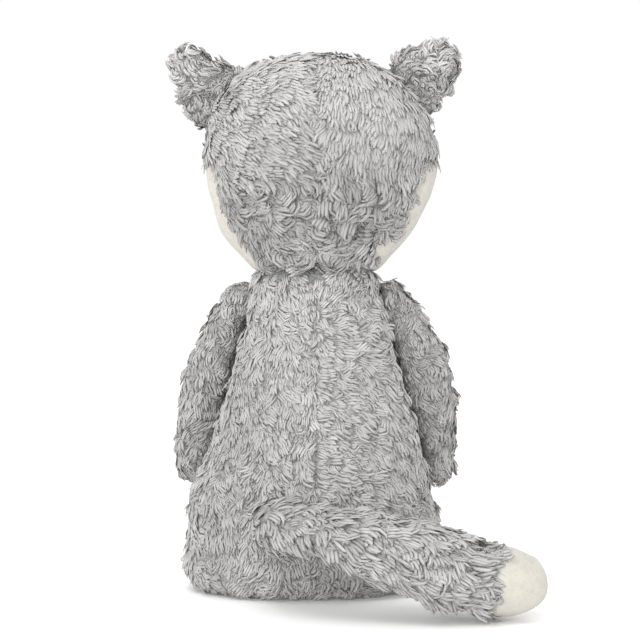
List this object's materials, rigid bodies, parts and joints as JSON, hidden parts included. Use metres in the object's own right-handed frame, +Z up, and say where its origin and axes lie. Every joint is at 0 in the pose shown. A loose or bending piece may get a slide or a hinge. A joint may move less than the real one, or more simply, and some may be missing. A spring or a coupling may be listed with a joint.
{
  "type": "plush fox",
  "caption": "Seated stuffed fox in long-pile plush, with a nodding head, folding ears, swinging arms, lifting legs and a bushy tail that swings out from its side.",
  "frame": {"origin": "middle of the seat, on the floor that the toy sits on", "axes": "+Z up, the fox faces -Y, and its left side is +X"},
  "size_m": [0.222, 0.2935, 0.3253],
  "materials": {
    "grey_plush": "long shaggy grey pile",
    "cream_plush": "short cream pile",
    "fibre_fill": "loose polyester fibre filling",
    "black_plastic": "polished black",
    "white_plastic": "moulded natural white",
    "nose_thread": "dark satin-stitched thread"
  },
  "bodies": {
    "torso": {"torso_base_panel": "grey_plush", "torso_front_panel": "grey_plush", "torso_back_left_panel": "grey_plush", "torso_back_right_panel": "grey_plush", "torso_stuffing": "fibre_fill"},
    "head": {"cheek_left_panel": "cream_plush", "cheek_right_panel": "cream_plush", "head_mask_panel": "grey_plush", "head_back_left_panel": "grey_plush", "head_back_right_panel": "grey_plush", "head_stuffing": "fibre_fill", "muzzle_top_panel": "grey_plush", "muzzle_chin_panel": "cream_plush", "muzzle_stuffing": "fibre_fill", "nose": "nose_thread", "eye_left": "black_plastic", "eye_left_washer": "white_plastic", "eye_right": "black_plastic", "eye_right_washer": "white_plastic"},
    "ear_left": {"ear_left_back_panel": "grey_plush", "ear_left_front_panel": "grey_plush"},
    "ear_right": {"ear_right_back_panel": "grey_plush", "ear_right_front_panel": "grey_plush"},
    "arm_left": {"arm_left_front_panel": "grey_plush", "arm_left_back_panel": "grey_plush", "arm_left_stuffing": "fibre_fill"},
    "arm_right": {"arm_right_front_panel": "grey_plush", "arm_right_back_panel": "grey_plush", "arm_right_stuffing": "fibre_fill"},
    "leg_left": {"leg_left_outer_panel": "grey_plush", "leg_left_inner_panel": "grey_plush", "foot_left_sole": "cream_plush", "leg_left_stuffing": "fibre_fill"},
    "leg_right": {"leg_right_outer_panel": "grey_plush", "leg_right_inner_panel": "grey_plush", "foot_right_sole": "cream_plush", "leg_right_stuffing": "fibre_fill"},
    "tail": {"tail_outer_panel": "grey_plush", "tail_inner_panel": "grey_plush", "tail_tip": "cream_plush", "tail_stuffing": "fibre_fill"}
  },
  "joints": [
    {"name": "neck_nod", "type": "hinge", "parent": "torso", "child": "head", "pos_m": [0, 0, 0.182], "axis": [1, 0, 0], "range_deg": [-10, 15], "stiffness_Nm_per_rad": 1.5},
    {"name": "ear_left_fold", "type": "hinge", "parent": "head", "child": "ear_left", "pos_m": [0.06363, 0, 0.293], "axis": [0.7431, 0, -0.6691], "range_deg": [-15, 15], "stiffness_Nm_per_rad": 0.05},
    {"name": "ear_right_fold", "type": "hinge", "parent": "head", "child": "ear_right", "pos_m": [-0.06363, 0, 0.293], "axis": [0.7431, 0, 0.6691], "range_deg": [-15, 15], "stiffness_Nm_per_rad": 0.05},
    {"name": "arm_left_swing", "type": "hinge", "parent": "torso", "child": "arm_left", "pos_m": [0.03949, -0.00672, 0.171], "axis": [-0.9633, 0.1699, -0.2079], "range_deg": [-20, 90]},
    {"name": "arm_right_swing", "type": "hinge", "parent": "torso", "child": "arm_right", "pos_m": [-0.03949, -0.00672, 0.171], "axis": [-0.9633, -0.1699, 0.2079], "range_deg": [-20, 90]},
    {"name": "leg_left_lift", "type": "hinge", "parent": "torso", "child": "leg_left", "pos_m": [0.036, -0.07407, 0.02163], "axis": [-1, 0, 0], "range_deg": [-40, 50]},
    {"name": "leg_right_lift", "type": "hinge", "parent": "torso", "child": "leg_right", "pos_m": [-0.036, -0.07407, 0.02163], "axis": [-1, 0, 0], "range_deg": [-40, 50]},
    {"name": "tail_swing", "type": "hinge", "parent": "torso", "child": "tail", "pos_m": [0.01792, 0.08163, 0.0432], "axis": [0, 0, -1], "range_deg": [-5, 100]}
  ]
}
